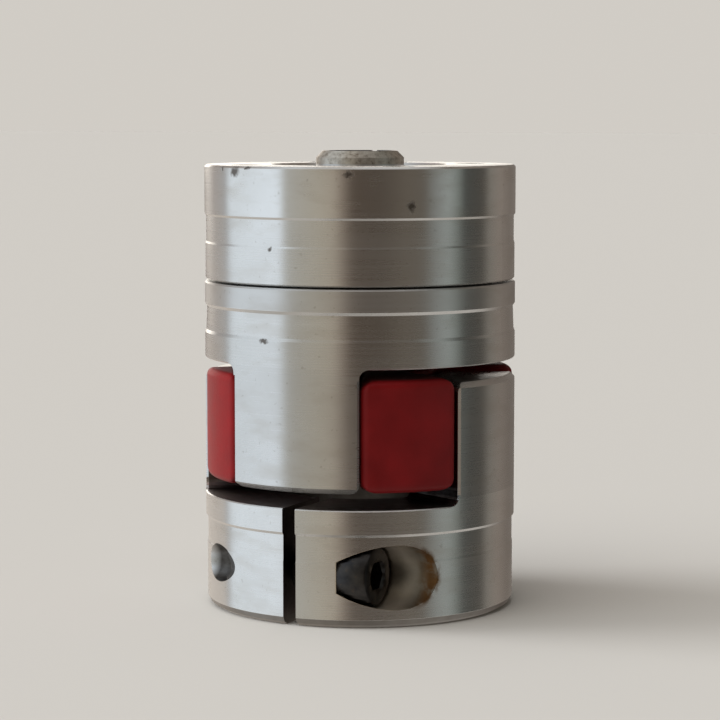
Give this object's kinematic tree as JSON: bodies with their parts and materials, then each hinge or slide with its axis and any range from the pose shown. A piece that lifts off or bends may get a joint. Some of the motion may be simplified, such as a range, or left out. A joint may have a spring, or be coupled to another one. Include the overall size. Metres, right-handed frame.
{
  "type": "jaw coupling",
  "caption": "Backlash-free jaw coupling: slit clamp hub and taper clamping-ring hub with interlocking jaws around a red elastomer spider.",
  "frame": {"origin": "centre of the lower clamp hub's outer face, on the shaft axis", "axes": "+Z along the shaft axis from the clamp hub towards the clamping ring; -Y towards the slit of the clamp hub; +X towards the head of the clamp screw"},
  "size_m": [0.03, 0.03, 0.0438],
  "materials": {
    "aluminium": "satin turned aluminium with fine turning marks",
    "elastomer": "hard red polyurethane, smooth satin",
    "steel": "black oxide alloy steel, lightly oiled"
  },
  "bodies": {
    "lower_hub": {"lower_clamp_hub": "aluminium"},
    "clamp_screw": {"clamp_screw": "steel"},
    "spider": {"spider": "elastomer"},
    "upper_hub": {"upper_taper_hub": "aluminium"},
    "ring": {"clamping_ring": "aluminium"},
    "ring_screw_1": {"ring_screw_1": "steel"},
    "ring_screw_2": {"ring_screw_2": "steel"},
    "ring_screw_3": {"ring_screw_3": "steel"},
    "ring_screw_4": {"ring_screw_4": "steel"}
  },
  "joints": [
    {"name": "clamp_screw_turn", "type": "hinge", "parent": "lower_hub", "child": "clamp_screw", "pos_m": [0.0045, -0.0115, 0.0047], "axis": [1, 0, 0], "range_deg": [0, 360]},
    {"name": "wind_up", "type": "hinge", "parent": "lower_hub", "child": "spider", "pos_m": [0, 0, 0.0175], "axis": [0, 0, 1], "range_deg": [-4, 4], "deforming": ["spider"]},
    {"name": "hub_pull_off", "type": "slide", "parent": "spider", "child": "upper_hub", "axis": [0, 0, 1], "range_m": [0, 0.012]},
    {"name": "ring_screw_1_turn", "type": "hinge", "parent": "upper_hub", "child": "ring_screw_1", "pos_m": [0.00806, -0.00806, 0.0273], "axis": [0, 0, -1], "range_deg": [0, 720]},
    {"name": "ring_screw_2_turn", "type": "hinge", "parent": "upper_hub", "child": "ring_screw_2", "pos_m": [0.00806, 0.00806, 0.0273], "axis": [0, 0, -1], "range_deg": [0, 720]},
    {"name": "ring_screw_3_turn", "type": "hinge", "parent": "upper_hub", "child": "ring_screw_3", "pos_m": [-0.00806, 0.00806, 0.0273], "axis": [0, 0, -1], "range_deg": [0, 720]},
    {"name": "ring_screw_4_turn", "type": "hinge", "parent": "upper_hub", "child": "ring_screw_4", "pos_m": [-0.00806, -0.00806, 0.0273], "axis": [0, 0, -1], "range_deg": [0, 720]},
    {"name": "ring_lift", "type": "slide", "parent": "upper_hub", "child": "ring", "axis": [0, 0, 1], "range_m": [0, 0.001]}
  ],
  "couplings": [
    {"joint": "ring_screw_1_turn", "follows": "ring_lift", "rad_per_m": 12566},
    {"joint": "ring_screw_2_turn", "follows": "ring_lift", "rad_per_m": 12566},
    {"joint": "ring_screw_3_turn", "follows": "ring_lift", "rad_per_m": 12566},
    {"joint": "ring_screw_4_turn", "follows": "ring_lift", "rad_per_m": 12566}
  ]
}
